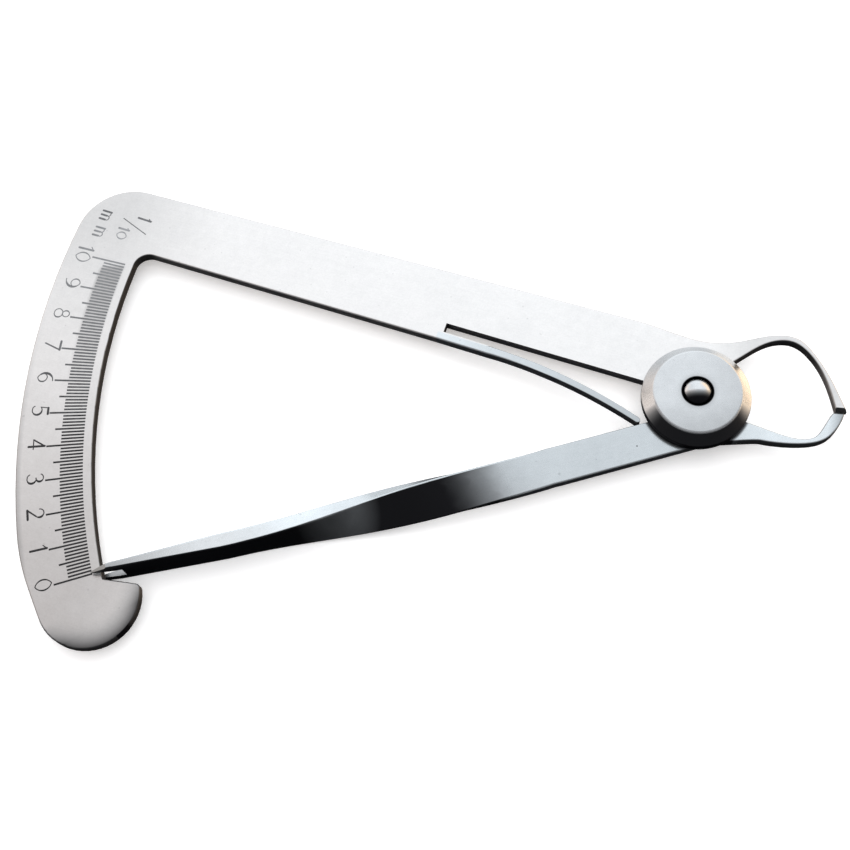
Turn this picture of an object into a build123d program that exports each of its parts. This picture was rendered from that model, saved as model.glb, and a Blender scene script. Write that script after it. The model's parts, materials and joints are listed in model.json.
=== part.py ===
from build123d import *
from math import acos, asin, cos, degrees, radians, sin, sqrt
import os

# Scale and travel: the pointer sweeps this angle while the jaws open by the reading
reading_span = 10.0
scale_sweep = 32.2
units = 10
divisions = 10
tip_radius = reading_span / (2 * sin(radians(scale_sweep / 2)))

# Heights above the rear rivet head, which is the lowest face at the pivot
rear_head_height = 0.78
face_clearance = 0.02
plate_thickness = 1.5
disc_height = 2.5
plate_back = rear_head_height + face_clearance
plate_top = plate_back + plate_thickness
plate_middle = plate_back + plate_thickness / 2

# Dial arc, measured from the pivot
arc_inner_radius = 77.3
arc_width = 10.0
arc_outer_radius = arc_inner_radius + arc_width
window_corner_radius = 2.0
outer_corner_radius = 7.5

# Engraved and filled marks
mark_inset = 1.2
mark_inner_radius = arc_inner_radius + mark_inset
tenth_mark_length = 3.0
half_mark_length = 3.9
whole_mark_length = 4.9
mark_width = 0.16
engraving_depth = 0.06
numeral_height = 2.12
numeral_width = 1.42
numeral_inset = 2.62
numeral_radius = arc_outer_radius - numeral_inset
numeral_shift = 0.25
numeral_pitch = 1.35
thin = 0.14
medium = 0.21
thick = 0.3

# Unit characters at the 10 end: each one's middle, as its distance in from the arc's outer edge and its
# angle, and then its height and width
unit_marks = [
    ("m", 3.15, 20.6, 1.6, 1.4),
    ("m", 3.35, 18.8, 1.6, 1.4),
    ("1", 8.55, 21.45, 1.9, 0.9),
    ("/", 7.65, 20.4, 4.0, 1.35),
    ("1", 6.45, 19.8, 1.5, 0.9),
    ("0", 6.5, 19.05, 1.4, 1.1),
]

# Characters as pen strokes in a square with its baseline at 0 and its sides 1: each has its width, and two
# points for a straight stroke or three for an arc, which swells to its width from thin ends
characters = {
    "0": [(medium, (0.5, 1), (0.02, 0.5), (0.5, 0)), (medium, (0.5, 1), (0.98, 0.5), (0.5, 0))],
    "1": [(thick, (0.56, 0), (0.56, 1)), (thin, (0.56, 1), (0.24, 0.8))],
    "2": [
        (thin, (0.1, 0.74), (0.22, 0.93), (0.5, 1)),
        (thick, (0.5, 1), (0.86, 0.79), (0.72, 0.5)),
        (medium, (0.72, 0.5), (0.06, 0)),
        (thick, (0.06, 0), (0.94, 0)),
    ],
    "3": [
        (thin, (0.1, 0.86), (0.25, 0.97), (0.46, 1)),
        (thick, (0.46, 1), (0.8, 0.78), (0.42, 0.55)),
        (thick, (0.42, 0.55), (0.92, 0.27), (0.42, 0)),
        (thin, (0.42, 0), (0.2, 0.04), (0.06, 0.16)),
    ],
    "4": [(thick, (0.7, 0), (0.7, 1)), (medium, (0.7, 1), (0.04, 0.3)), (thin, (0.04, 0.3), (0.97, 0.3))],
    "5": [
        (thick, (0.86, 1), (0.24, 1)),
        (thin, (0.24, 1), (0.16, 0.53)),
        (thick, (0.16, 0.53), (0.92, 0.34), (0.42, 0)),
        (thin, (0.42, 0), (0.2, 0.03), (0.06, 0.14)),
    ],
    "6": [
        (thick, (0.82, 0.98), (0.08, 0.36), (0.5, 0)),
        (medium, (0.5, 0), (0.93, 0.31), (0.5, 0.6)),
        (thin, (0.5, 0.6), (0.24, 0.53), (0.1, 0.38)),
    ],
    "7": [(thick, (0.06, 1), (0.94, 1)), (medium, (0.94, 1), (0.36, 0))],
    "8": [
        (medium, (0.5, 1), (0.18, 0.77), (0.5, 0.54)),
        (thin, (0.5, 1), (0.82, 0.77), (0.5, 0.54)),
        (thin, (0.5, 0.54), (0.06, 0.27), (0.5, 0)),
        (medium, (0.5, 0.54), (0.94, 0.27), (0.5, 0)),
    ],
    "m": [
        (thick, (0.04, 0), (0.04, 0.8)),
        (thin, (0.04, 0.5), (0.27, 0.8), (0.5, 0.5)),
        (thick, (0.5, 0.5), (0.5, 0)),
        (thin, (0.5, 0.5), (0.73, 0.8), (0.96, 0.5)),
        (thick, (0.96, 0.5), (0.96, 0)),
    ],
    "/": [(thin, (0, 0), (1, 1))],
}
characters["9"] = [(width, *[(1 - x, 1 - y) for x, y in points]) for width, *points in characters["6"]]

# Thumb lobe at the 0 end of the arc, with its ledge's ends measured from the lobe's middle
lobe_radius = 6.5
lobe_inset = 7.7
lobe_angle = 18.05
lobe_start_angle = 13.5
lobe_ledge_start = (1.78, 2.26)
lobe_ledge_end = (6.68, 1.51)
lobe_corner_radius = 0.7
lobe_blend_radius = 30.0

# Upper arm, in its own directions: along from the pivot, and across towards its upper edge
arm_angle = 18.15
arm_upper_edge = 8.65
arm_lower_edge_at_slot = -1.25
arm_lower_edge_slope = 0.0203
arm_head_start = 10.0

# Slot and leaf spring, in the upper arm's directions
slot_root = 33.5
slot_edge_at_root = 1.21
slot_edge_slope = 0.0232
leaf_root_across = -0.68
leaf_root_width = 1.15
knuckle_along = 27.0
knuckle_across = -0.9
knuckle_width = 1.1
knuckle_clearance = 0.05
leaf_tip_along = 6.28
leaf_tip_across = -4.8
leaf_tip_width = 0.8

# Half-lapped pivot
boss_radius = 5.3
boss_clearance = 0.08
lap_clearance = 0.03
shank_radius = 1.2
fixed_bore_clearance = 0.015
running_bore_clearance = 0.04

# Bevelled disc and rivet heads
disc_radius = 6.85
disc_rim_height = 0.9
disc_flat_radius = 5.5
disc_edge_round = 0.3
counterbore_radius = 1.95
counterbore_depth = 1.3
dome_radius = 1.65
dome_side_height = 1.2
dome_rise = 0.75
rear_head_radius = 3.0
rear_head_chamfer = 0.25

# Pointer arm, in its own directions: along from the pivot, and across towards its lower edge
pointer_offset = 3.75
flat_top_edge_at_pivot = 1.3
flat_top_edge_slope = 0.0222
flat_lower_edge_at_pivot = 6.05
flat_lower_edge_slope = 0.0278
flat_end_length = 1.0
twist_start = 20.0
twist_end = 60.0
twist_angle = 90.0
twist_sections = 12
twist_drift = 2.6
twist_sag = 0.26
twist_sag_lead = 0.6
blade_height = 5.12
blade_thickness = 1.88
blade_bow = 0.33
blade_taper_length = 13.5
blade_point_length = 2.9
blade_end_thickness = 0.8
point_thickness = 0.16
edge_round = 0.2
thin_round_share = 0.4

# Fork at the pointer's end, which straddles the arc's inner edge
fork_clearance = 0.35
fork_depth = 2.6
lower_prong_reach = 0.7
point_height = 0.3
point_slope_length = 2.2

# Jaws: inner and outer edges from the pivot to the tips, in the frame's own X and Y
jaw_angle = -6.6
jaw_tip_width = 1.34
jaw_gap = 0.03
lower_tip_trim = 0.3
tip_groove_width = 0.9
tip_groove_depth = 0.45
upper_jaw_outer = [(-1.6, 9.2), (2.0, 8.0), (6.0, 7.9), (10.6, 8.65), (13.7, 8.05), (15.5, 5.85), (17.2, 2.2)]
upper_jaw_inner = [(16.45, 2.2), (14.95, 5.6), (12.9, 7.55), (10.6, 7.72), (7.4, 6.35)]
upper_jaw_root = (2.6, 4.0)
upper_jaw_heading = (0.3, -0.95)
lower_jaw_inner = [(7.35, -3.75), (10.3, -5.0), (12.7, -5.65), (14.2, -5.45), (15.5, -4.1)]
lower_jaw_root = (4.2, -2.65)
lower_jaw_outer = [(17.45, -3.9), (15.75, -5.65), (13.4, -6.35), (8.0, -5.9)]
lower_jaw_heel = (4.3, -5.8)
lower_jaw_heading = (-0.2, -0.98)

# Sizes that follow from those above
pointer_angle = scale_sweep / 2 - degrees(asin(pointer_offset / mark_inner_radius))
pointer_tip_along = sqrt(mark_inner_radius**2 - pointer_offset**2)
arc_inner_along = sqrt(arc_inner_radius**2 - pointer_offset**2)
lap_low = plate_middle - lap_clearance / 2
lap_high = plate_middle + lap_clearance / 2
disc_base = plate_top + face_clearance
disc_top = disc_base + disc_height
counterbore_floor = disc_top - counterbore_depth


def polar_point(radius, angle):
    """A point at a radius from the pivot, at an angle above the line that points along -X."""
    return Vector(-radius * cos(radians(angle)), radius * sin(radians(angle)))


def arm_point(along, across):
    """A point of the upper arm, from distances along it and across it."""
    a = radians(arm_angle)
    return Vector(-along * cos(a) + across * sin(a), along * sin(a) + across * cos(a))


def pointer_point(along, across, height=0.0):
    """A point of the pointer arm, from distances along it, across it and up."""
    a = radians(pointer_angle)
    return Vector(-along * cos(a) + across * sin(a), -along * sin(a) - across * cos(a), height)


def tip_point(outwards, above):
    """A point near the middle of the closed tips, moved outwards and towards the upper jaw."""
    a = radians(jaw_angle)
    radius = tip_radius + outwards
    return Vector(radius * cos(a) - above * sin(a), radius * sin(a) + above * cos(a))


def smooth_step(x):
    return x * x * (3 - 2 * x)


def arm_lower_edge(along):
    return arm_lower_edge_at_slot + arm_lower_edge_slope * (along - slot_root)


def slot_edge(along):
    return slot_edge_at_root + slot_edge_slope * (along - slot_root)


def flat_top_edge(along):
    return flat_top_edge_at_pivot + flat_top_edge_slope * along


def flat_lower_edge(along):
    return flat_lower_edge_at_pivot + flat_lower_edge_slope * along


def nearest(vertices, point):
    return vertices.sort_by_distance(point)[0]


def stays_sharp(edge):
    """Whether an outline edge of the frame is at the slot, the leaf's root, the pivot or the jaw's tip."""
    middle = Vector(edge.center().X, edge.center().Y)
    along = middle.dot(arm_point(1, 0))
    across = middle.dot(arm_point(0, 1))
    in_slot = 0 < along < slot_root + leaf_root_width and across < slot_edge(slot_root) + slot_edge_slope
    at_tip = (middle - tip_point(0, 0)).length < jaw_tip_width / 2
    return in_slot or at_tip or middle.length < boss_radius


def is_before_bar(edge):
    """Whether an outline edge of the pointer arm's head lies before its end, where the bar goes on."""
    along = edge.center().dot(pointer_point(1, 0))
    return along < twist_start - flat_end_length / 2 + edge_round


def plate_rims(part):
    """The outline edges of a flat plate, at its front and its back."""
    back = part.edges().filter_by_position(Axis.Z, plate_back, plate_back)
    front = part.edges().filter_by_position(Axis.Z, plate_top, plate_top)
    return back + front


def bar_plane(along, across, turn):
    """The plane of a section of the pointer arm, with its wide side turned up from the flat."""
    upper_side = -pointer_point(0, 1)
    wide_side = upper_side * cos(radians(turn)) + Vector(0, 0, 1) * sin(radians(turn))
    return Plane(pointer_point(along, across, plate_middle), x_dir=wide_side, z_dir=pointer_point(1, 0))


def write_character(character, radius, angle, height, width):
    """Pen strokes of a character with its middle at a place and its top towards the pivot."""
    middle = polar_point(radius, angle)
    up = middle.normalized() * -height
    right = up.normalized().rotate(Axis.Z, -90) * width
    for stroke_width, *points in characters[character]:
        placed = [middle + right * (x - 0.5) + up * (y - 0.5) for x, y in points]
        start, end = placed[0], placed[-1]
        is_straight = len(placed) == 2
        pen_width = stroke_width if is_straight else thin
        with BuildLine() as pen:
            if is_straight:
                Line(start, end)
            else:
                ThreePointArc(*placed)
        trace(pen.line, line_width=pen_width)
        with Locations(start, end):
            Circle(pen_width / 2)
        if stroke_width > pen_width:
            swell = (placed[1] - (start + end) / 2).normalized() * stroke_width / 2
            with BuildLine() as swelling:
                ThreePointArc(start, placed[1] + swell, end)
                ThreePointArc(end, placed[1] - swell, start)
            make_face(swelling.line.edges())


def cut_tip_grooves():
    """V-shaped grooves across the closed tips, front and back, which leave each jaw a bevelled end."""
    a = radians(jaw_angle)
    outwards = Vector(cos(a), sin(a))
    across_tips = Plane(tip_point(0, 0), x_dir=outwards.rotate(Axis.Z, 90), z_dir=outwards)
    with BuildSketch(across_tips) as grooves:
        for face, depth in ((plate_top, tip_groove_depth), (plate_back, -tip_groove_depth)):
            with BuildLine() as groove:
                Polyline(
                    (0, face - depth),
                    (tip_groove_width, face + depth),
                    (-tip_groove_width, face + depth),
                    close=True,
                )
            make_face(groove.line.edges())
    extrude(grooves.sketch, amount=jaw_tip_width, both=True, mode=Mode.SUBTRACT)


os.makedirs("parts", exist_ok=True)

# Leaf spring's line: its straight root stays on the frame, and an arc runs from the knuckle to the tip
knuckle = arm_point(knuckle_along, knuckle_across)
leaf_root = arm_point(slot_root, leaf_root_across)
leaf_tip = arm_point(leaf_tip_along, leaf_tip_across)
leaf_heading = (knuckle - leaf_root).normalized()
leaf_arc = TangentArc(knuckle, leaf_tip, tangent=leaf_heading, mode=Mode.PRIVATE)


def leaf_side(share, side):
    """A point on a long edge of the leaf, at a share of its length from the knuckle."""
    half_width = (knuckle_width + (leaf_tip_width - knuckle_width) * share) / 2
    return leaf_arc @ share + (leaf_arc % share).rotate(Axis.Z, 90) * half_width * side


with BuildPart() as leaf_spring:
    with BuildSketch(Plane.XY.offset(plate_back)):
        with BuildLine():
            ThreePointArc(leaf_side(0, 1), leaf_side(0.5, 1), leaf_side(1, 1))
            Line(leaf_side(1, 1), leaf_side(1, -1))
            ThreePointArc(leaf_side(1, -1), leaf_side(0.5, -1), leaf_side(0, -1))
            Line(leaf_side(0, -1), leaf_side(0, 1))
        make_face()
        with Locations(knuckle):
            Circle(knuckle_width / 2)
        with Locations(leaf_tip):
            Circle(leaf_tip_width / 2)
    extrude(amount=plate_thickness)

# The arc's outer edge runs tangent into the lobe
lobe_centre = polar_point(arc_outer_radius - lobe_inset, -lobe_angle)
arc_end = polar_point(arc_outer_radius, -lobe_start_angle)
lobe_reach = arc_end - lobe_centre
lobe_turn = degrees(acos(lobe_radius / lobe_reach.length))
lobe_tangent = lobe_centre + lobe_reach.normalized().rotate(Axis.Z, lobe_turn) * lobe_radius

# The lobe's straight ledge is cut back inside the arc, where the pointer's fork stands
ledge_start = lobe_centre + Vector(*lobe_ledge_start)
ledge_end = lobe_centre + Vector(*lobe_ledge_end)
ledge_run = (ledge_end - ledge_start).normalized()
ledge_rise = ledge_run.rotate(Axis.Z, 90) * 2 * lobe_radius
ledge_low = ledge_start - ledge_run * lobe_radius
ledge_high = ledge_start + ledge_run * 2 * lobe_radius
with BuildSketch() as above_ledge:
    with BuildLine():
        Polyline(ledge_low, ledge_high, ledge_high + ledge_rise, ledge_low + ledge_rise, close=True)
    make_face()
    Circle(arc_inner_radius, mode=Mode.INTERSECT)

with BuildSketch(Plane.XY.offset(plate_back)) as frame_outline:
    # Upper arm, trimmed to the dial's outer edge
    arm_far = arc_outer_radius + outer_corner_radius
    with BuildLine():
        Polyline(
            arm_point(arm_head_start, arm_upper_edge),
            arm_point(arm_far, arm_upper_edge),
            arm_point(arm_far, arm_lower_edge(arm_far)),
            arm_point(slot_root, arm_lower_edge(slot_root)),
            arm_point(slot_root, slot_edge(slot_root)),
            arm_point(0, slot_edge(0)),
            Vector(*upper_jaw_root),
            close=True,
        )
    make_face()
    Circle(arc_outer_radius, mode=Mode.INTERSECT)
    # Dial arc and its thumb lobe
    with BuildLine():
        arc_top_angle = arm_angle
        outer_top = polar_point(arc_outer_radius, arc_top_angle)
        inner_top = polar_point(arc_inner_radius, arc_top_angle)
        inner_end = polar_point(arc_inner_radius, -lobe_angle)
        ThreePointArc(outer_top, polar_point(arc_outer_radius, 0), arc_end)
        Line(arc_end, lobe_tangent)
        Line(lobe_tangent, lobe_centre)
        Line(lobe_centre, inner_end)
        ThreePointArc(inner_end, polar_point(arc_inner_radius, 0), inner_top)
        Line(inner_top, outer_top)
    make_face()
    with Locations(lobe_centre):
        Circle(lobe_radius)
    add(above_ledge.sketch, mode=Mode.SUBTRACT)
    # Upper jaw
    with BuildLine():
        jaw_start = arm_point(arm_head_start, arm_upper_edge)
        outer_tip = tip_point(jaw_tip_width / 2, jaw_gap / 2)
        inner_tip = tip_point(-jaw_tip_width / 2, jaw_gap / 2)
        Spline(jaw_start, *upper_jaw_outer, outer_tip, tangents=[arm_point(-1, 0), upper_jaw_heading])
        Line(outer_tip, inner_tip)
        Spline(inner_tip, *upper_jaw_inner, upper_jaw_root)
        Line(upper_jaw_root, jaw_start)
    make_face()
    # Root of the leaf spring, hollowed for its knuckle
    with BuildLine():
        leaf_across = leaf_heading.rotate(Axis.Z, 90)
        stub_start = leaf_root - leaf_heading
        Polyline(
            stub_start + leaf_across * leaf_root_width / 2,
            knuckle + leaf_across * knuckle_width / 2,
            knuckle - leaf_across * knuckle_width / 2,
            stub_start - leaf_across * leaf_root_width / 2,
            close=True,
        )
    make_face()
    with Locations(knuckle):
        Circle(knuckle_width / 2 + knuckle_clearance, mode=Mode.SUBTRACT)
    outer_corner = arm_point(arc_outer_radius, arm_upper_edge)
    fillet(nearest(frame_outline.vertices(), outer_corner), outer_corner_radius)
    window_corner = arm_point(arc_inner_radius, arm_lower_edge(arc_inner_radius))
    fillet(nearest(frame_outline.vertices(), window_corner), window_corner_radius)
    fillet(nearest(frame_outline.vertices(), ledge_end), lobe_corner_radius)
    fillet(nearest(frame_outline.vertices(), arc_end), lobe_blend_radius)

# Black-filled marks, each a thin solid flush in its own shallow cut
engraving_floor = plate_top - engraving_depth
with BuildPart() as graduation_fill:
    with BuildSketch(Plane.XY.offset(engraving_floor)):
        for mark in range(units * divisions + 1):
            if mark % divisions == 0:
                mark_length = whole_mark_length
            elif mark % divisions == divisions // 2:
                mark_length = half_mark_length
            else:
                mark_length = tenth_mark_length
            mark_angle = scale_sweep * (mark / (units * divisions) - 0.5)
            mark_middle = polar_point(mark_inner_radius + mark_length / 2, mark_angle)
            with Locations(Location(mark_middle, -mark_angle)):
                Rectangle(mark_length, mark_width)
    extrude(amount=engraving_depth)

with BuildPart() as numeral_fill:
    with BuildSketch(Plane.XY.offset(engraving_floor)):
        for unit in range(units + 1):
            number = str(unit)
            unit_angle = scale_sweep * (unit / units - 0.5) + numeral_shift
            for place, character in enumerate(number):
                shift = (place - (len(number) - 1) / 2) * numeral_pitch
                character_angle = unit_angle - degrees(shift / numeral_radius)
                write_character(character, numeral_radius, character_angle, numeral_height, numeral_width)
    extrude(amount=engraving_depth)

with BuildPart() as unit_fill:
    with BuildSketch(Plane.XY.offset(engraving_floor)):
        for character, inset, angle, height, width in unit_marks:
            write_character(character, arc_outer_radius - inset, angle, height, width)
    extrude(amount=engraving_depth)

# The frame: its front half carries the pivot boss, and its back half is cut away for the pointer arm's
with BuildPart() as scale_frame:
    add(frame_outline.sketch)
    extrude(amount=plate_thickness)
    fillet([edge for edge in plate_rims(scale_frame) if not stays_sharp(edge)], edge_round)
    with BuildSketch(Plane.XY.offset(plate_back)):
        Circle(boss_radius + boss_clearance)
    extrude(amount=lap_high - plate_back, mode=Mode.SUBTRACT)
    with BuildSketch(Plane.XY.offset(lap_high)):
        Circle(boss_radius)
    extrude(amount=disc_base - lap_high)
    with BuildSketch(Plane.XY.offset(plate_back)):
        Circle(shank_radius + fixed_bore_clearance)
    extrude(amount=disc_base - plate_back, mode=Mode.SUBTRACT)
    cut_tip_grooves()
    for fill in (graduation_fill, numeral_fill, unit_fill):
        add(fill.part, mode=Mode.SUBTRACT)

# The pointer arm: a flat head with the lower jaw, a twisted bar, and an upright blade with a forked point
with BuildPart() as pointer_arm:
    flat_end = twist_start - flat_end_length
    flat_end_top = flat_top_edge(flat_end)
    flat_end_low = flat_lower_edge(flat_end)
    with BuildSketch(Plane.XY.offset(plate_back)):
        with BuildLine():
            outer_tip = tip_point(jaw_tip_width / 2 - lower_tip_trim, -jaw_gap / 2)
            inner_tip = tip_point(-jaw_tip_width / 2, -jaw_gap / 2)
            heel = Vector(*lower_jaw_heel)
            head_low = pointer_point(0, flat_lower_edge(0))
            Polyline(
                lower_jaw_root,
                pointer_point(0, flat_top_edge(0)),
                pointer_point(flat_end, flat_end_top),
                pointer_point(twist_start, flat_end_top),
                pointer_point(twist_start, flat_end_low),
                pointer_point(flat_end, flat_end_low),
                head_low,
                heel,
            )
            Spline(outer_tip, *lower_jaw_outer, heel, tangents=[lower_jaw_heading, head_low - heel])
            Line(outer_tip, inner_tip)
            Spline(lower_jaw_root, *lower_jaw_inner, inner_tip)
        make_face()
    extrude(amount=plate_thickness)
    fillet([edge for edge in plate_rims(pointer_arm) if is_before_bar(edge)], edge_round)
    # Bar, turned from flat to upright
    twist_start_across = (flat_end_top + flat_end_low) / 2
    twist_start_width = flat_end_low - flat_end_top
    twist_shift = pointer_offset + blade_bow - twist_start_across
    for section in range(twist_sections + 1):
        share = section / twist_sections
        eased = smooth_step(share)
        along = twist_start + (twist_end - twist_start) * share
        sag = twist_sag * sin(radians(180 * share**twist_sag_lead))
        across = twist_start_across + twist_shift * smooth_step(share**twist_drift) + sag
        with BuildSketch(bar_plane(along, across, twist_angle * eased)):
            width = twist_start_width + (blade_height - twist_start_width) * eased
            thickness = plate_thickness + (blade_thickness - plate_thickness) * eased
            RectangleRounded(width, thickness, edge_round)
    loft()
    # Blade, thinned to its point
    taper_end = pointer_tip_along - blade_point_length
    blade_stations = [
        (twist_end, blade_thickness),
        (taper_end - blade_taper_length, blade_thickness),
        (taper_end, blade_end_thickness),
        (pointer_tip_along, point_thickness),
    ]
    for along, thickness in blade_stations:
        across = pointer_offset + blade_bow * (pointer_tip_along - along) / (pointer_tip_along - twist_end)
        with BuildSketch(bar_plane(along, across, twist_angle)):
            RectangleRounded(blade_height, thickness, min(edge_round, thickness * thin_round_share))
    loft(ruled=True)
    # Fork round the arc's inner edge, and the upper prong's slope, cut through the blade from its side
    notch_low = plate_back - fork_clearance
    notch_high = plate_top + fork_clearance
    fork_root = arc_inner_along - fork_depth
    lower_prong_end = arc_inner_along + lower_prong_reach
    beyond = pointer_tip_along + blade_height
    blade_top = plate_middle + blade_height / 2
    blade_foot = pointer_point(0, pointer_offset)
    blade_side = Plane(blade_foot, x_dir=pointer_point(1, 0), z_dir=pointer_point(0, -1))
    with BuildSketch(blade_side):
        with BuildLine():
            Polyline(
                (fork_root, notch_high),
                (fork_root, notch_low),
                (lower_prong_end, notch_low),
                (lower_prong_end, notch_low - blade_height),
                (beyond, notch_low - blade_height),
                (beyond, notch_high),
                close=True,
            )
        make_face()
        with BuildLine():
            Polyline(
                (pointer_tip_along - point_slope_length, blade_top),
                (pointer_tip_along, notch_high + point_height),
                (beyond, notch_high + point_height),
                (beyond, blade_top + blade_height),
                (pointer_tip_along - point_slope_length, blade_top + blade_height),
                close=True,
            )
        make_face()
    extrude(amount=blade_thickness, both=True, mode=Mode.SUBTRACT)
    # Pivot: the back half is a boss, and the front half is cut away for the frame's
    with BuildSketch(Plane.XY.offset(lap_low)):
        Circle(boss_radius + boss_clearance)
    extrude(amount=plate_top - lap_low, mode=Mode.SUBTRACT)
    with BuildSketch(Plane.XY.offset(plate_back)):
        Circle(boss_radius)
    extrude(amount=lap_low - plate_back)
    with BuildSketch(Plane.XY.offset(plate_back)):
        Circle(shank_radius + running_bore_clearance)
    extrude(amount=plate_thickness, mode=Mode.SUBTRACT)
    cut_tip_grooves()

with BuildPart() as front_disc:
    with BuildSketch(Plane.XZ):
        with BuildLine():
            Polyline(
                (shank_radius + fixed_bore_clearance, disc_base),
                (disc_radius, disc_base),
                (disc_radius, disc_base + disc_rim_height),
                (disc_flat_radius, disc_top),
                (counterbore_radius, disc_top),
                (counterbore_radius, counterbore_floor),
                (shank_radius + fixed_bore_clearance, counterbore_floor),
                close=True,
            )
        make_face()
    revolve(axis=Axis.Z)
    circles = front_disc.edges().filter_by(GeomType.CIRCLE)
    corners = circles.filter_by(lambda edge: edge.center().Z > disc_base)
    face_middle_radius = (counterbore_radius + disc_flat_radius) / 2
    fillet([corner for corner in corners if corner.radius > face_middle_radius], disc_edge_round)

with BuildPart() as pivot_rivet:
    with BuildSketch(Plane.XZ):
        with BuildLine():
            dome_edge = counterbore_floor + dome_side_height
            dome_top = dome_edge + dome_rise
            Polyline(
                (0, dome_top),
                (0, 0),
                (rear_head_radius - rear_head_chamfer, 0),
                (rear_head_radius, rear_head_chamfer),
                (rear_head_radius, rear_head_height),
                (shank_radius, rear_head_height),
                (shank_radius, counterbore_floor),
                (dome_radius, counterbore_floor),
                (dome_radius, dome_edge),
            )
            dome_curve = (dome_radius**2 + dome_rise**2) / (2 * dome_rise)
            RadiusArc((dome_radius, dome_edge), (0, dome_top), -dome_curve)
        make_face()
    revolve(axis=Axis.Z)

pieces = {
    "scale_frame": scale_frame,
    "leaf_spring": leaf_spring,
    "pointer_arm": pointer_arm,
    "front_disc": front_disc,
    "pivot_rivet": pivot_rivet,
    "graduation_fill": graduation_fill,
    "numeral_fill": numeral_fill,
    "unit_fill": unit_fill,
}
for name, piece in pieces.items():
    piece.part.label = name
    export_step(piece.part, f"parts/{name}.step")
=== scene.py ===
"""The looks of a spring-closed decimal caliper gauge, laid out as an add-on and run as a script."""

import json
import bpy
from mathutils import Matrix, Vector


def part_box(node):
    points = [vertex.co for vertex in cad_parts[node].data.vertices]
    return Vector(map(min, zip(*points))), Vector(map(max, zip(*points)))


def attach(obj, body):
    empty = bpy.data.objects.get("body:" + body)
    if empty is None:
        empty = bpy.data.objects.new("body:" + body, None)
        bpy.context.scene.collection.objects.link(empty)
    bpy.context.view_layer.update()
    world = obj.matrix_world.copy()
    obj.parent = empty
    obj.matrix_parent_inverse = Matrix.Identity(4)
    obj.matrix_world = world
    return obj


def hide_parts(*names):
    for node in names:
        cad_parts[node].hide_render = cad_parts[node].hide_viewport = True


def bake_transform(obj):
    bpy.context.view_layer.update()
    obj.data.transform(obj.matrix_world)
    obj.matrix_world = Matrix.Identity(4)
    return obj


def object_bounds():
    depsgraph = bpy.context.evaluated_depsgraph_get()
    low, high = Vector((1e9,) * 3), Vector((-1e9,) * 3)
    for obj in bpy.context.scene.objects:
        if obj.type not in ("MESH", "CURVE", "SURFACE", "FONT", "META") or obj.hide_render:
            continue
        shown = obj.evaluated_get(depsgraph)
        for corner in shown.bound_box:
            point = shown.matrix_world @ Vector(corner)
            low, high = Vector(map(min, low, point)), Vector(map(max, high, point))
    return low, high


bl_info = {
    "name": "Decimal Caliper Gauge",
    "version": (1, 0, 0),
    "blender": (4, 5, 0),
    "location": "3D View > Sidebar > Caliper",
    "description": "Dresses a stamped steel caliper gauge with its marks, spring and finishes",
    "category": "Object",
}

from math import cos, pi, radians, sin

import bmesh
import bpy
from bpy.props import FloatProperty, FloatVectorProperty, IntProperty, PointerProperty
from mathutils import Euler, Vector

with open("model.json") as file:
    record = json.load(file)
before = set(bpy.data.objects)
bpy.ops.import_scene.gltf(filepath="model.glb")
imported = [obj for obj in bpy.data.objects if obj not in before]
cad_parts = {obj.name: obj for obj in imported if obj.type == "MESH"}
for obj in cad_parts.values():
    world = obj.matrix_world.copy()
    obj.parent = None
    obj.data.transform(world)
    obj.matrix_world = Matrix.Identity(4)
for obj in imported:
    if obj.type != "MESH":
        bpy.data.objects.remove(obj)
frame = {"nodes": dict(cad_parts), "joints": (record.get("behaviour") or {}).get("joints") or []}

MM = 0.001
CAD_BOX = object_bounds()
LEAF_LOW, LEAF_HIGH = (Vector(corner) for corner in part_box("leaf_spring"))
PLATE_TOP = LEAF_HIGH.z
PLATE_BACK = LEAF_LOW.z
HINGES = {joint["name"]: joint for joint in frame["joints"]}
KNUCKLE = Vector(HINGES["leaf_flex"]["pos_m"])
SCALE_SWEEP = radians(HINGES["arm_pivot"]["range_deg"][1])

# Forms of the solids that the finishes follow, in millimetres from the pivot
PIVOT = (0.0, 0.0)
LOBE_MIDDLE = (-75.683, -24.663)
LOBE_RADIUS = 6.5
ARC_START = -70.0
ARC_OUTER_RADIUS = 87.3
ARC_INNER_RADIUS = 77.3
SLOT_END = (-31.64, 10.84)
BAR_START = -19.0
BLADE_END = -76.2
TIP_RADIUS = 18.0
COUNTERBORE_RADIUS = 1.95
DISC_RADIUS = 6.85
DISC_FLAT_RADIUS = 5.5
DOME_FOOT = 4.65

# A speck of wear, and the middle of a painted reflection, in the same millimetres
SPECK = (-7.65, -6.21)
PAINTED_REFLECTION_MIDDLE = (-45.0, -14.5)

# How dark the painted shade on walls and rims is, the one colour of painted shade and of dirt, and the colour
# of filling that is worn away
PAINTED_SHADE_DEPTH = 0.85
PAINTED_SHADE_AND_DIRT = (0.012, 0.012, 0.014)
WORN_FILLING = (0.42, 0.44, 0.46)


# Sizes and colours that a user would change


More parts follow.
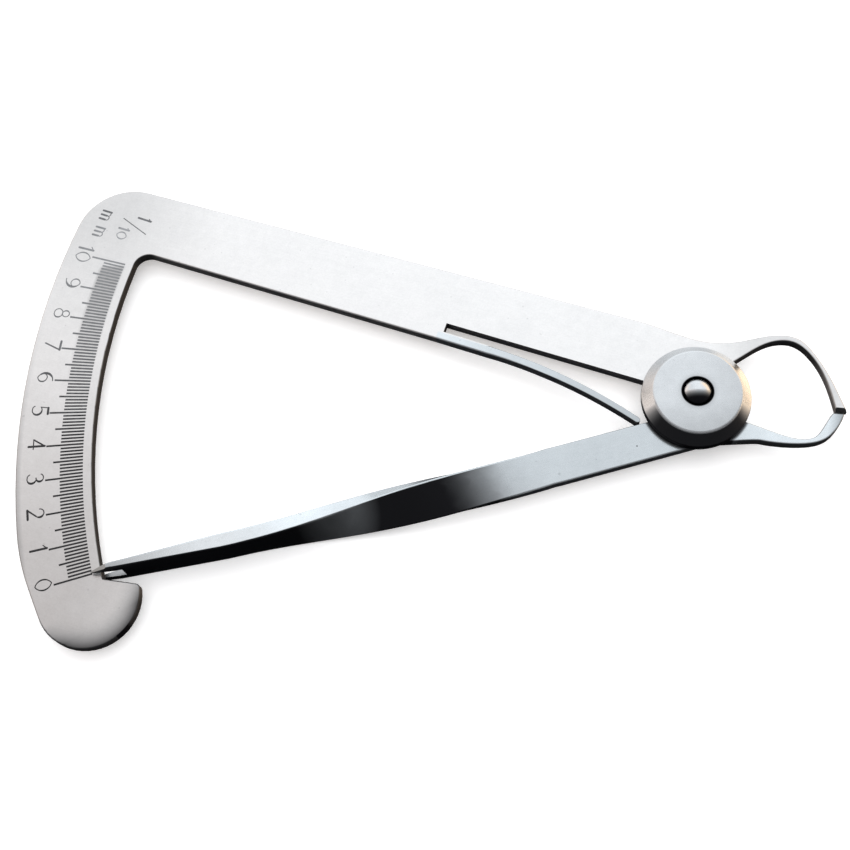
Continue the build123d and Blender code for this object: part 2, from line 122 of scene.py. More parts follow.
class CALIPER_PG_sizes(bpy.types.PropertyGroup):
    """Sizes of the scale marks and the leaf spring"""

    scale_sweep: FloatProperty(
        name="Scale sweep",
        description="Angle from the 0 mark to the last mark",
        default=SCALE_SWEEP,
        subtype="ANGLE",
    )
    units: IntProperty(
        name="Units",
        description="Whole millimetres on the scale",
        default=10,
        min=1,
    )
    mark_inner_radius: FloatProperty(
        name="Mark radius",
        description="Distance from the pivot to the marks",
        default=78.5 * MM,
        unit="LENGTH",
    )
    tenth_mark: FloatProperty(
        name="Tenth mark",
        description="Length of a tenth's mark",
        default=3.0 * MM,
        unit="LENGTH",
    )
    half_mark: FloatProperty(
        name="Half mark",
        description="Length of a half millimetre's mark",
        default=3.9 * MM,
        unit="LENGTH",
    )
    whole_mark: FloatProperty(
        name="Whole mark",
        description="Length of a whole millimetre's mark",
        default=4.9 * MM,
        unit="LENGTH",
    )
    mark_width: FloatProperty(
        name="Mark width",
        description="Width of every mark",
        default=0.25 * MM,
        precision=6,
        unit="LENGTH",
    )
    leaf_root_width: FloatProperty(
        name="Leaf root",
        description="Width of the leaf spring at the frame",
        default=1.15 * MM,
        unit="LENGTH",
    )
    leaf_tip_width: FloatProperty(
        name="Leaf tip",
        description="Width of the leaf spring at its tip",
        default=0.72 * MM,
        unit="LENGTH",
    )
    leaf_root_length: FloatProperty(
        name="Leaf root length",
        description="Straight run before the leaf's knuckle",
        default=6.9 * MM,
        unit="LENGTH",
    )


class CALIPER_PG_finishes(bpy.types.PropertyGroup):
    """Colours of the steels and the filling"""

    frame_colour: FloatVectorProperty(
        name="Frame",
        description="Steel of the frame",
        default=(0.735, 0.73, 0.725),
        subtype="COLOR",
        min=0,
        max=1,
    )
    arm_colour: FloatVectorProperty(
        name="Arm",
        description="Steel of the pointer arm and the leaf spring",
        default=(0.505, 0.54, 0.56),
        subtype="COLOR",
        min=0,
        max=1,
    )
    disc_colour: FloatVectorProperty(
        name="Disc",
        description="Steel of the disc and the rivet",
        default=(0.565, 0.585, 0.6),
        subtype="COLOR",
        min=0,
        max=1,
    )
    ink_colour: FloatVectorProperty(
        name="Marks",
        description="Black filling of the marks",
        default=(0.006, 0.006, 0.007),
        subtype="COLOR",
        min=0,
        max=1,
    )


class CALIPER_PG_studio(bpy.types.PropertyGroup):
    """The camera, and the colours of the surround"""

    camera_place: FloatVectorProperty(
        name="Camera place",
        description="Where the camera stands",
        default=(-23.106 * MM, -64.565 * MM, 153.943 * MM),
        subtype="TRANSLATION",
    )
    camera_turn: FloatVectorProperty(
        name="Camera turn",
        description="How the camera is turned",
        default=(radians(22.138), radians(4.037), radians(0.370)),
        subtype="EULER",
    )
    lens: FloatProperty(
        name="Lens",
        description="Focal length on a 36 mm sensor, in mm",
        default=54.63,
        min=1,
    )
    brightness: FloatProperty(
        name="Brightness",
        description="Strength of the surround",
        default=2.0,
        min=0,
    )
    behind: FloatVectorProperty(
        name="Behind",
        description="Wash behind the gauge",
        default=(0.71, 0.73, 0.75),
        subtype="COLOR",
        min=0,
        max=1,
    )
    behind_left: FloatVectorProperty(
        name="Behind left",
        description="Wash at the far left",
        default=(0.7, 0.61, 0.57),
        subtype="COLOR",
        min=0,
        max=1,
    )
    right: FloatVectorProperty(
        name="Right",
        description="Warm wash at the right",
        default=(1.0, 0.76, 0.54),
        subtype="COLOR",
        min=0,
        max=1,
    )
    left: FloatVectorProperty(
        name="Left",
        description="Warm wash at the left",
        default=(0.78, 0.68, 0.62),
        subtype="COLOR",
        min=0,
        max=1,
    )
    front: FloatVectorProperty(
        name="Front",
        description="Dark room in front of the gauge",
        default=(0.004, 0.004, 0.006),
        subtype="COLOR",
        min=0,
        max=1,
    )
    front_low: FloatVectorProperty(
        name="Front low",
        description="Pale band at eye level in front of the gauge",
        default=(0.5, 0.5, 0.51),
        subtype="COLOR",
        min=0,
        max=1,
    )
    front_high: FloatVectorProperty(
        name="Front above",
        description="Grey ceiling in front of the gauge",
        default=(0.3, 0.3, 0.31),
        subtype="COLOR",
        min=0,
        max=1,
    )


# Shader and geometry maths


class Wire:
    """A node's output socket, whose arithmetic adds Math nodes to its tree."""

    def __init__(self, tree, socket):
        self.tree = tree
        self.socket = socket

    def math(self, operation, *values):
        """A Math node's result on numbers and wires."""
        node = self.tree.nodes.new("ShaderNodeMath")
        node.operation = operation
        for place, value in enumerate(values):
            if isinstance(value, Wire):
                self.tree.links.new(value.socket, node.inputs[place])
            else:
                node.inputs[place].default_value = value
        return Wire(self.tree, node.outputs[0])

    def __add__(self, other):
        return self.math("ADD", self, other)

    def __radd__(self, other):
        return self.math("ADD", other, self)

    def __sub__(self, other):
        return self.math("SUBTRACT", self, other)

    def __rsub__(self, other):
        return self.math("SUBTRACT", other, self)

    def __mul__(self, other):
        return self.math("MULTIPLY", self, other)

    def __rmul__(self, other):
        return self.math("MULTIPLY", other, self)

    def __truediv__(self, other):
        return self.math("DIVIDE", self, other)

    def __rtruediv__(self, other):
        return self.math("DIVIDE", other, self)

    def least(self, other):
        """The lesser of the two."""
        return self.math("MINIMUM", self, other)

    def clamped(self):
        """The value held between 0 and 1."""
        return self.math("MINIMUM", self.math("MAXIMUM", self, 0.0), 1.0)


class Tree:
    """A node tree, and the one way in which its nodes are added."""

    def __init__(self, tree):
        self.tree = tree

    def node(self, kind, settings=None, inputs=None, output=0):
        """A node of a type, with its settings first and then the values or links of its sockets."""
        made = self.tree.nodes.new(kind)
        for name, value in (settings or {}).items():
            setattr(made, name, value)
        for name, value in (inputs or {}).items():
            if isinstance(value, Wire):
                self.tree.links.new(value.socket, made.inputs[name])
            else:
                made.inputs[name].default_value = value
        return Wire(self.tree, made.outputs[output])


def new_material(name, metallic):
    """A new material, its node tree and its surface shader's node."""
    material = bpy.data.materials.new(name)
    material.use_nodes = True
    shader = material.node_tree.nodes["Principled BSDF"]
    shader.inputs["Metallic"].default_value = metallic
    return material, Tree(material.node_tree), shader


def set_shader(tree, shader, **values):
    """Sets the shader's sockets, named with low lines for spaces, to values or links."""
    for name, value in values.items():
        socket = shader.inputs[name.replace("_", " ")]
        if isinstance(value, Wire):
            tree.tree.links.new(value.socket, socket)
        else:
            socket.default_value = value


def blend_colours(tree, share, first, second):
    """A mix of two colours, each a wire or three numbers."""
    sockets = {0: share}
    for socket, colour in ((6, first), (7, second)):
        sockets[socket] = colour if isinstance(colour, Wire) else (*colour, 1)
    return tree.node("ShaderNodeMix", {"data_type": "RGBA"}, sockets, output=2)


def axes(tree, vector):
    """The three parts of a vector."""
    first = tree.node("ShaderNodeSeparateXYZ", {}, {0: vector})
    return tuple(Wire(tree.tree, socket) for socket in first.socket.node.outputs)


def object_place(tree, scale=(1, 1, 1), turn=0.0):
    """Object coordinates in millimetres, turned about Z and then scaled."""
    place = tree.node("ShaderNodeTexCoord", output=3)
    turned = {"Vector": place, "Rotation": (0, 0, turn)}
    turned = tree.node("ShaderNodeMapping", {"vector_type": "TEXTURE"}, turned)
    sized = {"Vector": turned, "Scale": Vector(scale) / MM}
    return tree.node("ShaderNodeMapping", {"vector_type": "POINT"}, sized)


def plate_place(tree):
    """The two parts of a place in the plate's plane, in millimetres from the pivot."""
    return axes(tree, object_place(tree))[:2]


def surface_lean(tree):
    """The three parts of the direction that the piece's surface faces."""
    return axes(tree, tree.node("ShaderNodeTexCoord", output=1))


def ramp(value, start, end):
    """0 up to start and 1 from end, straight between them."""
    return ((value - start) / (end - start)).clamped()


def band(value, start, full, fading, end):
    """0 up to start, 1 from full to fading, and 0 again from end."""
    return ramp(value, start, full) * ramp(value, end, fading)


def early(mask):
    """A mask that rises soon after its start and levels off at 1."""
    rest = 1.0 - mask
    return 1.0 - rest * rest


def near_side(tree, start, end):
    """A mask of what faces the near side, at -Y: 0 up to a lean of start and 1 from end."""
    return ramp(surface_lean(tree)[1], start, end)


def cut_edge(tree):
    """1 on the walls and rounded rims of a flat plate, and 0 on its faces."""
    rise = surface_lean(tree)[2]
    return 1.0 - ramp(rise.math("ABSOLUTE", rise), 0.8, 0.985)


def distance_to(x, y, middle=PIVOT):
    """Distance in the plate's plane from a place."""
    across = x - middle[0]
    rise = y - middle[1]
    return x.math("SQRT", across * across + rise * rise)


def spot(x, y, middle, full, gone):
    """1 up to a distance of full from a place in the plate's plane, and 0 from a distance of gone."""
    return ramp(distance_to(x, y, middle), gone, full)


def noise(tree, scale, detail, roughness=0.5, stretch=(1, 1, 1), turn=0.0):
    """Noise from 0 to 1 with scale waves to the millimetre."""
    place = object_place(tree, stretch, turn)
    sockets = {"Vector": place, "Scale": scale, "Detail": detail, "Roughness": roughness}
    return tree.node("ShaderNodeTexNoise", {}, sockets)


# Finishes


def satin_steel(name, colour, shading, roughness, grain=0.2, grain_turn=0.0):
    """Satin stainless steel: drawn grain, faint blotches, specks, and cut edges rougher and darker by painted
    shade.

    The shading gives three values from the tree: the share that is darkened by painted shade and by dirt, the
    share that is cut edge, and the tone that the steel is multiplied by.
    """
    drawn_out = (0.35, 6.0, 6.0)
    grain_depth = 0.006 * MM
    # How much painted shade darkens the cut edges, which are also rougher
    edge_shade = 0.45
    speck_dulled = 0.16
    material, tree, shader = new_material(name, 1.0)
    lines = noise(tree, 1.0, 3.0, 0.6, drawn_out, grain_turn)
    grit = noise(tree, 4.5, 3.0, 0.75)
    blotch = noise(tree, 0.22, 3.0, 0.55)
    patch = noise(tree, 0.9, 2.0, 0.6)
    specks = ramp(noise(tree, 1.7, 1.0), 0.74, 0.79)
    black, edge, tone = shading(tree)
    shade = 1.0
    for pattern, strength in ((blotch, 0.16), (patch, 0.1), (lines, 0.08), (grit, 0.22)):
        shade = shade + (pattern - 0.5) * strength
    shade = shade * tone * (1.0 - specks * speck_dulled) * (1.0 - edge * edge_shade)
    plain = tree.node("ShaderNodeVectorMath", {"operation": "SCALE"}, {0: colour, "Scale": shade})
    # Painted shade and dirt both blend towards the one dark colour
    base = blend_colours(tree, black, plain, PAINTED_SHADE_AND_DIRT)
    relief = {"Strength": grain, "Distance": grain_depth, "Height": lines * 0.5 + grit}
    bump = tree.node("ShaderNodeBump", {}, relief)
    rough = roughness + (blotch - 0.5) * 0.12 + (grit - 0.5) * 0.12 + edge * 0.14 + black * 0.3
    set_shader(tree, shader, Base_Color=base, Roughness=rough.clamped(), Normal=bump)
    return material


def frame_shading(tree):
    """Painted shade on the rims of the lobe and the arc and on walls, smudged filling near the 10, and the
    arc darker towards its left.

    The walls in painted shade are the arc's inner side, the closed end of the leaf's slot, and the jaw's
    throat and tip.
    """
    x, y = plate_place(tree)
    edge = cut_edge(tree)
    reach = distance_to(x, y)
    lobe = distance_to(x, y, LOBE_MIDDLE)
    # Painted shade on the lobe's rim, darker on its low side, and along the arc's outer rim
    low_side = ramp((x - LOBE_MIDDLE[0]) * 0.6 - (y - LOBE_MIDDLE[1]), 0.5, 4.5)
    rim = band(lobe - LOBE_RADIUS, -3.6, -0.1, 0.4, 1.0)
    on_arc = ramp(x, ARC_START, ARC_START - 2.0)
    outer = ramp(reach, ARC_OUTER_RADIUS - 0.8, ARC_OUTER_RADIUS) * on_arc * ramp(y, 16.0, -10.0)
    # Painted shade on the arc's inner wall, the slot's end wall, and the jaw's throat and tip
    inner = ramp(reach, ARC_INNER_RADIUS + 0.2, ARC_INNER_RADIUS + 0.04) * on_arc
    slot_end = spot(x, y, SLOT_END, 0.8, 1.2)
    throat = ramp(x, 3.0, 6.0) * near_side(tree, -0.1, -0.5)
    tip = ramp(x, TIP_RADIUS - 1.6, TIP_RADIUS - 1.2) * near_side(tree, -0.4, -0.7)
    walls = ((inner + slot_end + throat) * edge + tip).clamped()
    on_marks = band(reach - ARC_INNER_RADIUS, 1.0, 1.4, 4.0, 4.6) * on_arc
    smudge = on_marks * band(y, 2.0, 20.0, 21.2, 21.8) * (0.26 + noise(tree, 1.1, 3.0) * 0.24)
    # The black share: painted shade on rims and walls, and the smudged filling
    black = rim * rim * low_side * PAINTED_SHADE_DEPTH + outer * 0.35 + walls * PAINTED_SHADE_DEPTH + smudge
    # The arc darker towards its left end, most near its top and its bottom
    left_end_darkening = ramp(x, -62.0, -76.0) * (0.09 + ramp(y, 16.0, 28.0) * 0.12 + ramp(y, 8.0, -20.0) * 0.2)
    jaw = ramp(x, 2.5, 8.0) * 0.16
    return black.clamped(), edge, 1.0 - left_end_darkening - jaw


def leaf_shading(tree):
    """Sides rougher and darker by painted shade, and a tone that falls off from the root's, which matches the
    frame's, to the tip's.
    """
    x = plate_place(tree)[0]
    return 0.0, cut_edge(tree), 1.3 - ramp(x, -34.0, -22.0) * 0.26 - ramp(x, -20.0, -8.0) * 0.2


def pointer_shading(tree):
    """Painted shade: dull walls on the flat head, a dark near side to the twist and blade, and a jaw darker
    at its tip.

    The dark side has one paler patch, a painted reflection. The pointer's end, the jaw's near wall and the
    rim under the disc are black with painted shade, and one speck is black; the blade is brighter than the
    head but dulls towards its end.
    """
    x, y = plate_place(tree)
    speck = spot(x, y, SPECK, 0.06, 0.13)
    # A paler patch in the painted shade: a painted reflection
    patch = spot(x, y, PAINTED_REFLECTION_MIDDLE, 2.0, 5.4) * 0.27
    # Painted shade on the near side of the twist and the blade
    front = early(near_side(tree, -0.08, -0.41)) * ramp(x, BAR_START - 1.0, BAR_START - 6.0)
    front = front * (1.0 - patch)
    # Painted shade round the disc's foot
    under_disc = spot(x, y, PIVOT, DISC_RADIUS + 0.1, DISC_RADIUS + 0.4)
    # Painted shade at the pointer's end and on the jaw's near wall
    point = ramp(x, BLADE_END + 1.0, BLADE_END)
    jaw_wall = ramp(x, 2.0, 5.0) * near_side(tree, -0.3, -0.7)
    black = speck * 0.8 + front * 0.99 + (point + jaw_wall) * PAINTED_SHADE_DEPTH + under_disc * 0.8
    blade_tone = 1.0 + ramp(x, -30.0, -50.0) * 0.33
    point_tone = 1.0 - ramp(x, -62.0, -75.0) * 0.5
    jaw_tone = 1.0 + ramp(x, 3.0, 9.0) * 0.26
    # Painted shade at the jaw's tip
    tip_tone = 1.0 - ramp(distance_to(x, y), TIP_RADIUS - 1.4, TIP_RADIUS) * ramp(x, 12.0, 15.0) * 0.45
    on_head = ramp(x, BAR_START - 4.0, BAR_START)
    return black.clamped(), cut_edge(tree) * on_head, blade_tone * point_tone * jaw_tone * tip_tone


def disc_shading(tree):
    """Painted shade and a painted highlight on the disc, and a faint darker halo round the counterbore.

    The painted shade is black in the counterbore and at its edge, a dark near bevel and wall, and a flat
    duller on its near and right sides; the painted highlight brightens the bevel on the right.
    """
    x, y = plate_place(tree)
    # Black in the counterbore and at its edge: painted shade
    gap_shade = spot(x, y, PIVOT, COUNTERBORE_RADIUS + 0.02, COUNTERBORE_RADIUS + 0.14)
    halo = spot(x, y, PIVOT, COUNTERBORE_RADIUS, COUNTERBORE_RADIUS + 0.9)
    # Painted shade on the disc's near wall and near bevel
    wall = ramp(surface_lean(tree)[2], 0.45, 0.25) * ramp(y, 1.0, -1.0)
    on_bevel = ramp(distance_to(x, y), DISC_FLAT_RADIUS, DISC_FLAT_RADIUS + 0.2)
    near_bevel = early(near_side(tree, -0.2, -0.48)) * on_bevel
    black = gap_shade + halo * halo * 0.25 + wall * 0.8 + near_bevel * 0.98
    # Painted shade darkens the flat on its near and right sides; a painted highlight brightens the bevel on
    # the right
    flat_tone = 1.0 - ramp(y, -1.0, -5.5) * 0.25 - ramp(x, 0.0, 5.0) * 0.13
    bevel_tone = 0.93 + ramp(x, 2.0, 5.5) * 0.4
    return black.clamped(), 0.0, flat_tone + (bevel_tone - flat_tone) * on_bevel


def rivet_shading(tree):
    """Painted shade low on the dome's side and on its near slope."""
    height = axes(tree, object_place(tree))[2]
    low = 1.0 - ramp(height, DOME_FOOT, DOME_FOOT + 0.2)
    return (low + early(near_side(tree, 0.02, -0.45))).clamped(), 0.0, 1.0


def mark_ink(name, colour, faded, faint_places=()):
    """Black filling of the engraved marks, worn thinner towards the 10 end and at the faint places."""
    material, tree, shader = new_material(name, 0.0)
    x, y = plate_place(tree)
    worn = ramp(y, -6.0, 22.0) * faded + (noise(tree, 1.3, 3.0) - 0.5) * 0.3 - 0.05
    for middle, radius, share in faint_places:
        worn = worn + spot(x, y, middle, radius, radius + 0.5) * share
    base = blend_colours(tree, worn.clamped(), colour, WORN_FILLING)
    set_shader(tree, shader, Base_Color=base, Roughness=0.6)
    return material


def studio_surround(studio):
    """Soft surround: a pale wash behind the gauge, warm at the sides and dark in front and below.

    The dark front has a pale band at eye level and a grey ceiling.
    """
    world = bpy.data.worlds.new("studio surround")
    world.use_nodes = True
    tree = Tree(world.node_tree)
    x, y, z = axes(tree, tree.node("ShaderNodeTexCoord"))
    above = ramp(z, -0.75, -0.55)
    low = ramp(z, 0.5, 0.2) * above * ramp(y, -0.3, 0.15)
    leftness = ramp(x, -0.1, -0.35)
    backness = ramp(y, -0.1, 0.5).least(1.0 - leftness * 0.2) * (1.0 - ramp(z, 0.05, -0.3) * 0.3)
    eye_level = band(z, -0.16, -0.06, 0.2, 0.33)
    behind = blend_colours(tree, leftness * ramp(y, 0.45, 0.25), studio.behind, studio.behind_left)
    front = blend_colours(tree, eye_level, studio.front, studio.front_low)
    front = blend_colours(tree, ramp(z, 0.42, 0.68), front, studio.front_high)
    colour = blend_colours(tree, backness * above, front, behind)
    colour = blend_colours(tree, ramp(x, 0.3, 0.6) * low, colour, studio.right)
    colour = blend_colours(tree, ramp(x, -0.35, -0.7) * low, colour, studio.left)
    background = world.node_tree.nodes["Background"]
    background.inputs["Strength"].default_value = studio.brightness
    world.node_tree.links.new(colour.socket, background.inputs["Color"])
    return world


# Pieces


def show(node, material):
    """Gives a CAD node its finish."""
    piece = frame["nodes"][node]
    piece.data.materials.clear()
    piece.data.materials.append(material)


def link(name, data):
    """An object of a mesh or a light, in the scene."""
    piece = bpy.data.objects.new(name, data)
    bpy.context.scene.collection.objects.link(piece)
    return piece


def tangent_arc(start, heading, end, share):
    """A point and its heading, at a share of the arc that leaves start along heading and runs to end."""
    chord = end - start
    turn = 2 * heading.angle_signed(chord)
    radius = chord.length / (2 * sin(turn / 2))
    middle = start + Vector((heading.y, -heading.x)) * radius
    turned = Euler((0, 0, -turn * share))
    spoke = (start - middle).to_3d()
    spoke.rotate(turned)
    ahead = heading.to_3d()
    ahead.rotate(turned)
    return middle + spoke.to_2d(), ahead.to_2d()


def swept_bar(name, stations, material):
    """A flat bar through stations of place, heading, width, back, top and edge round."""
    corners = ((1, 1, 0), (-1, 1, 90), (-1, -1, 180), (1, -1, 270))
    corner_points = 4
    corner_step = 90 / (corner_points - 1)
    mesh = bmesh.new()
    rings = []
    for place, heading, width, back, top, round_edge in stations:
        across = Vector((-heading.y, heading.x)).to_3d()
        middle = Vector((place.x, place.y, (back + top) / 2))
        ring = []
        for side, rise, first in corners:
            corner = middle + across * side * (width / 2 - round_edge)
            corner.z += rise * ((top - back) / 2 - round_edge)
            for step in range(corner_points):
                turn = radians(first + step * corner_step)
                spoke = across * cos(turn) + Vector((0, 0, sin(turn)))
                ring.append(mesh.verts.new(corner + spoke * round_edge))
        rings.append(ring)
    for before, after in zip(rings, rings[1:]):
        for place in range(len(before)):
            follow = (place + 1) % len(before)
            mesh.faces.new((before[place], before[follow], after[follow], after[place]))
    mesh.faces.new(rings[0])
    mesh.faces.new(reversed(rings[-1]))
    bmesh.ops.recalc_face_normals(mesh, faces=mesh.faces)
    data = bpy.data.meshes.new(name)
    mesh.to_mesh(data)
    mesh.free()
    for count, face in enumerate(data.polygons):
        between_corners = count % corner_points == corner_points - 1
        face.use_smooth = len(face.vertices) == 4 and not between_corners
    data.materials.append(material)
    return link(name, data)


# Operators


class CALIPER_OT_frame(bpy.types.Operator):
    """Finish the stamped frame in satin steel"""

    bl_idname = "caliper.frame"
    bl_label = "Finish frame"

    roughness = 0.32
    grain_turn = radians(-18)

    def execute(self, context):
        colour = context.scene.caliper_finishes.frame_colour
        steel = satin_steel(
            "frame satin steel", colour, frame_shading, self.roughness, grain_turn=self.grain_turn
        )
        show("scale_frame", steel)
        return {"FINISHED"}


class CALIPER_OT_marks(bpy.types.Operator):
    """Fill the scale marks, the numbers and the units"""

    bl_idname = "caliper.marks"
    bl_label = "Fill marks"

    tenths = 10
    marks_faded = 0.52
    numerals_faded = 0.5
    units_faded = 0.3
    faint_places = (((-76.0, 26.3), 1.3, 0.34), ((-79.3, 27.2), 1.0, 0.22))
    filling_depth = 0.05 * MM
    filling_proud = 0.004 * MM
    inputs = {
        "Divisions": "NodeSocketInt",
        "Sweep": "NodeSocketFloat",
        "Inner radius": "NodeSocketFloat",
        "Tenth length": "NodeSocketFloat",
        "Half length": "NodeSocketFloat",
        "Whole length": "NodeSocketFloat",
        "Width": "NodeSocketFloat",
        "Depth": "NodeSocketFloat",
        "Height": "NodeSocketFloat",
    }

    def execute(self, context):
        colour = context.scene.caliper_finishes.ink_colour
        ink = mark_ink("mark filling", colour, self.marks_faded)
        show("numeral_fill", mark_ink("numeral filling", colour, self.numerals_faded))
        show("unit_fill", mark_ink("unit filling", colour, self.units_faded, self.faint_places))
        marks = self.plain_marks(context.scene.caliper_sizes, ink)
        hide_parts("graduation_fill")
        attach(marks, "frame")
        return {"FINISHED"}

    def mark_nodes(self, ink):
        """Marks set round the arc: each one's length follows from its place in the count."""
        group = bpy.data.node_groups.new("scale marks", "GeometryNodeTree")
        tree = Tree(group)
        interface = group.interface
        interface.new_socket("Marks", in_out="OUTPUT", socket_type="NodeSocketGeometry")
        for name, kind in self.inputs.items():
            interface.new_socket(name, in_out="INPUT", socket_type=kind)
        given = group.nodes.new("NodeGroupInput")
        size = {name: Wire(group, given.outputs[name]) for name in self.inputs}
        index = tree.node("GeometryNodeInputIndex")
        places = tree.node("GeometryNodePoints", {}, {"Count": size["Divisions"] + 1.0})
        in_unit = index.math("MODULO", index, self.tenths)
        is_whole = in_unit.math("LESS_THAN", in_unit, 0.5)
        is_half = in_unit.math("COMPARE", in_unit, self.tenths / 2, 0.5)
        half_more = size["Half length"] - size["Tenth length"]
        whole_more = size["Whole length"] - size["Tenth length"]
        length = size["Tenth length"] + is_half * half_more + is_whole * whole_more
        angle = size["Sweep"] * (index / size["Divisions"] - 0.5)
        radius = size["Inner radius"] + length / 2.0
        across = 0.0 - radius * angle.math("COSINE", angle)
        rise = radius * angle.math("SINE", angle)
        place = tree.node("ShaderNodeCombineXYZ", {}, {0: across, 1: rise, 2: size["Height"]})
        turn = tree.node("ShaderNodeCombineXYZ", {}, {2: 0.0 - angle})
        scale = tree.node("ShaderNodeCombineXYZ", {}, {0: length, 1: size["Width"], 2: size["Depth"]})
        bar = tree.node("GeometryNodeMeshCube")
        placed = tree.node("GeometryNodeSetPosition", {}, {"Geometry": places, "Position": place})
        bars = {"Points": placed, "Instance": bar, "Rotation": turn, "Scale": scale}
        copies = tree.node("GeometryNodeInstanceOnPoints", {}, bars)
        real = tree.node("GeometryNodeRealizeInstances", {}, {"Geometry": copies})
        filled = tree.node("GeometryNodeSetMaterial", {}, {"Geometry": real, "Material": ink})
        result = group.nodes.new("NodeGroupOutput")
        group.links.new(filled.socket, result.inputs["Marks"])
        return group

    def plain_marks(self, sizes, ink):
        """The marks as a plain mesh, with the node tree's modifier gone."""
        seed = link("scale_marks_seed", bpy.data.meshes.new("seed"))
        modifier = seed.modifiers.new("marks", "NODES")
        modifier.node_group = self.mark_nodes(ink)
        divisions = sizes.units * self.tenths
        values = {
            "Divisions": divisions,
            "Sweep": sizes.scale_sweep,
            "Inner radius": sizes.mark_inner_radius,
            "Tenth length": sizes.tenth_mark,
            "Half length": sizes.half_mark,
            "Whole length": sizes.whole_mark,
            "Width": sizes.mark_width,
            "Depth": self.filling_depth,
            "Height": PLATE_TOP + self.filling_proud - self.filling_depth / 2,
        }
        for socket in modifier.node_group.interface.items_tree:
            if socket.in_out == "INPUT":
                modifier[socket.identifier] = values[socket.name]
        depsgraph = bpy.context.evaluated_depsgraph_get()
        mesh = bpy.data.meshes.new_from_object(seed.evaluated_get(depsgraph))
        bpy.data.objects.remove(seed)
        faces_of_a_mark = 6
        if len(mesh.polygons) != (divisions + 1) * faces_of_a_mark:
            raise RuntimeError("the scale has the wrong number of marks")
        return link("scale_marks", mesh)


class CALIPER_OT_leaf(bpy.types.Operator):
    """Bend the leaf spring in one piece from the frame to the pointer arm"""

    bl_idname = "caliper.leaf"
    bl_label = "Bend leaf spring"

    roughness = 0.3
    grain_turn = radians(-24)
    root_heading = radians(-20.09)
    steps = 40
    root_steps = 8
    taper = 0.6
    overlap = 0.012 * MM
    root_depth = 0.06 * MM
    root_inset = 1.6 * MM
    root_round = 0.2 * MM
    tip_round = 0.06 * MM
    tip_turns = (30, 60, 75)
    blend_before = 1 * MM
    blend_after = 6 * MM

    def execute(self, context):
        colour = context.scene.caliper_finishes.arm_colour
        steel = satin_steel(
            "spring satin steel", colour, leaf_shading, self.roughness, grain_turn=self.grain_turn
        )
        knuckle = KNUCKLE.to_2d()
        heading = Vector((cos(self.root_heading), sin(self.root_heading)))
        stations = self.leaf_stations(context.scene.caliper_sizes, knuckle, heading)
        leaf = swept_bar("bent_leaf_spring", stations, steel)
        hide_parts("leaf_spring")
        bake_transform(leaf)
        return {"FINISHED"}

    def leaf_stations(self, sizes, knuckle, heading):
        """The bar's stations: its end sunk in the frame, the straight root, the bend and the rounded tip."""
        back = PLATE_BACK - self.overlap
        top = PLATE_TOP + self.overlap
        root_width = sizes.leaf_root_width + 2 * self.overlap
        tip_width = sizes.leaf_tip_width
        tip = Vector((LEAF_HIGH.x - tip_width / 2, LEAF_LOW.y + tip_width / 2))
        sunk = self.root_depth
        start = knuckle - heading * (sizes.leaf_root_length + self.root_inset)
        stations = [(start, heading, root_width - 2 * sunk, back + sunk, top - sunk, self.root_round)]
        for step in range(self.root_steps):
            away = sizes.leaf_root_length * (1 - step / self.root_steps)
            stations.append((knuckle - heading * away, heading, root_width, back, top, self.root_round))
        for step in range(self.steps + 1):
            share = step / self.steps
            place, ahead = tangent_arc(knuckle, heading, tip, share)
            width = root_width + (tip_width - root_width) * share**self.taper
            edge = self.root_round + (self.tip_round - self.root_round) * min(share * 3, 1)
            stations.append((place, ahead, width, back, top, edge))
        for turn in self.tip_turns:
            beyond = ahead * (tip_width / 2 * sin(radians(turn)))
            width = tip_width * cos(radians(turn))
            stations.append((place + beyond, ahead, width, back, top, self.tip_round))
        return stations


class CALIPER_OT_pointer(bpy.types.Operator):
    """Finish the pointer arm"""

    bl_idname = "caliper.pointer"
    bl_label = "Finish pointer arm"

    roughness = 0.26
    grain = 0.08
    grain_turn = radians(13)

    def execute(self, context):
        colour = context.scene.caliper_finishes.arm_colour
        steel = satin_steel(
            "arm satin steel", colour, pointer_shading, self.roughness, self.grain, self.grain_turn
        )
        show("pointer_arm", steel)
        return {"FINISHED"}


class CALIPER_OT_pivot(bpy.types.Operator):
    """Finish the bevelled disc and the rivet"""

    bl_idname = "caliper.pivot"
    bl_label = "Finish pivot"

    disc_roughness = 0.27
    rivet_roughness = 0.25
    grain = 0.1

    def execute(self, context):
        colour = context.scene.caliper_finishes.disc_colour
        disc = satin_steel("disc satin steel", colour, disc_shading, self.disc_roughness, self.grain)
        show("front_disc", disc)
        rivet = satin_steel("rivet satin steel", colour, rivet_shading, self.rivet_roughness, self.grain)
        show("pivot_rivet", rivet)
        return {"FINISHED"}


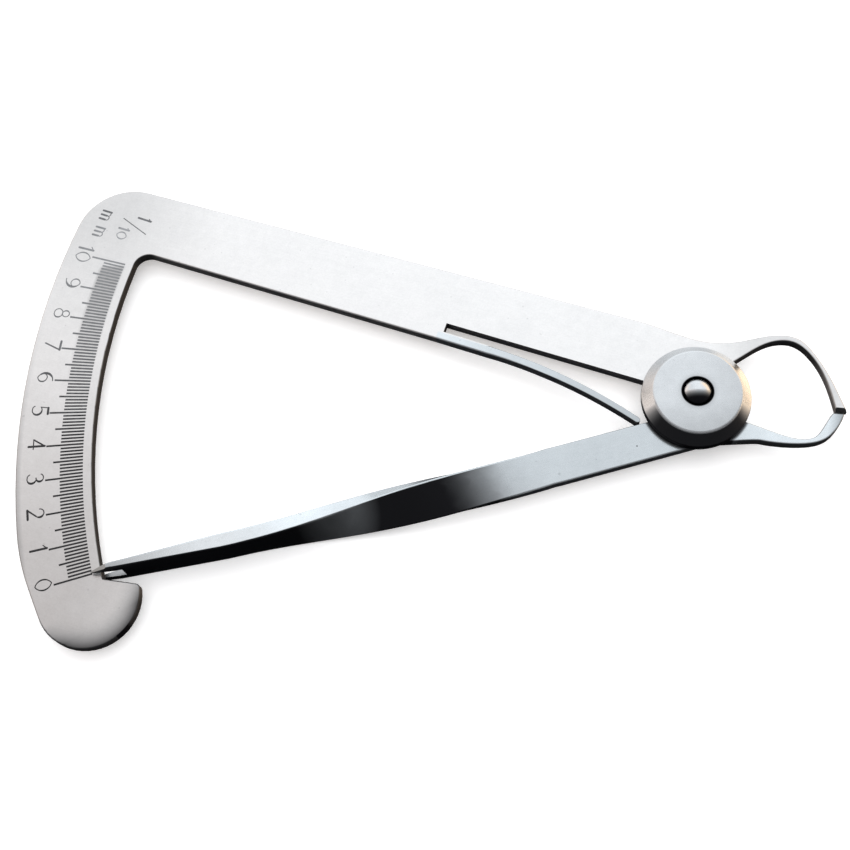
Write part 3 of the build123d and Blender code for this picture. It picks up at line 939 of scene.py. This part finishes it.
class CALIPER_OT_stage(bpy.types.Operator):
    """Set the floor, the light and the camera"""

    bl_idname = "caliper.stage"
    bl_label = "Set stage"

    floor_reach = 1.5
    floor_gap = 0.02 * MM
    floor_colour = (0.9, 0.9, 0.9, 1)
    floor_glow = 0.35
    panel_place = (-35, 60, 700)
    panel_aim = (-35, 0, 0)
    panel_side = 900
    panel_brightness = 1.25

    def execute(self, context):
        scene = context.scene
        studio = scene.caliper_studio
        camera = bpy.data.objects.new("camera", bpy.data.cameras.new("camera"))
        scene.collection.objects.link(camera)
        camera.location = studio.camera_place
        camera.rotation_euler = Euler(studio.camera_turn)
        camera.data.lens = studio.lens
        camera.data.sensor_width = 36
        camera.data.clip_start = 10 * MM
        scene.camera = camera
        scene.view_settings.view_transform = "Standard"
        scene.world = studio_surround(studio)
        self.add_floor()
        self.add_light()
        return {"FINISHED"}

    def add_floor(self):
        """A pale floor just under the gauge, which glows a little and isn't mirrored in the steel."""
        material, tree, shader = new_material("pale floor", 0.0)
        set_shader(tree, shader, Base_Color=self.floor_colour, Roughness=0.7)
        set_shader(tree, shader, Emission_Color=self.floor_colour, Emission_Strength=self.floor_glow)
        height = CAD_BOX[0][2] - self.floor_gap
        sides = ((-1, -1), (1, -1), (1, 1), (-1, 1))
        corners = [(x * self.floor_reach, y * self.floor_reach, height) for x, y in sides]
        mesh = bpy.data.meshes.new("floor")
        mesh.from_pydata(corners, [], [(0, 1, 2, 3)])
        mesh.materials.append(material)
        floor = link("floor", mesh)
        floor.visible_glossy = False

    def add_light(self):
        """A soft panel over the gauge, which isn't mirrored in the steel."""
        panel = bpy.data.lights.new("floor fill", "AREA")
        panel.shape = "RECTANGLE"
        panel.size = self.panel_side * MM
        panel.size_y = self.panel_side * MM
        panel.energy = self.panel_brightness * pi * panel.size * panel.size_y
        light = link("floor fill", panel)
        light.location = Vector(self.panel_place) * MM
        aim = Vector(self.panel_aim) - Vector(self.panel_place)
        light.rotation_euler = aim.to_track_quat("-Z", "Y").to_euler()
        light.visible_glossy = False


class CALIPER_PT_panel(bpy.types.Panel):
    """The gauge's pieces and stage, in the order in which they are made"""

    bl_label = "Caliper gauge"
    bl_space_type = "VIEW_3D"
    bl_region_type = "UI"
    bl_category = "Caliper"

    def draw(self, context):
        for operator in OPERATORS:
            self.layout.operator(operator.bl_idname)


OPERATORS = (
    CALIPER_OT_frame,
    CALIPER_OT_marks,
    CALIPER_OT_leaf,
    CALIPER_OT_pointer,
    CALIPER_OT_pivot,
    CALIPER_OT_stage,
)
GROUPS = {
    "caliper_sizes": CALIPER_PG_sizes,
    "caliper_finishes": CALIPER_PG_finishes,
    "caliper_studio": CALIPER_PG_studio,
}


def register():
    for name, group in GROUPS.items():
        bpy.utils.register_class(group)
        setattr(bpy.types.Scene, name, PointerProperty(type=group))
    for operator in OPERATORS:
        bpy.utils.register_class(operator)
    bpy.utils.register_class(CALIPER_PT_panel)


def unregister():
    bpy.utils.unregister_class(CALIPER_PT_panel)
    for operator in reversed(OPERATORS):
        bpy.utils.unregister_class(operator)
    for name, group in GROUPS.items():
        delattr(bpy.types.Scene, name)
        bpy.utils.unregister_class(group)


def main():
    register()
    bpy.ops.caliper.frame()
    bpy.ops.caliper.marks()
    bpy.ops.caliper.leaf()
    bpy.ops.caliper.pointer()
    bpy.ops.caliper.pivot()
    bpy.ops.caliper.stage()


if __name__ == "__main__":
    main()
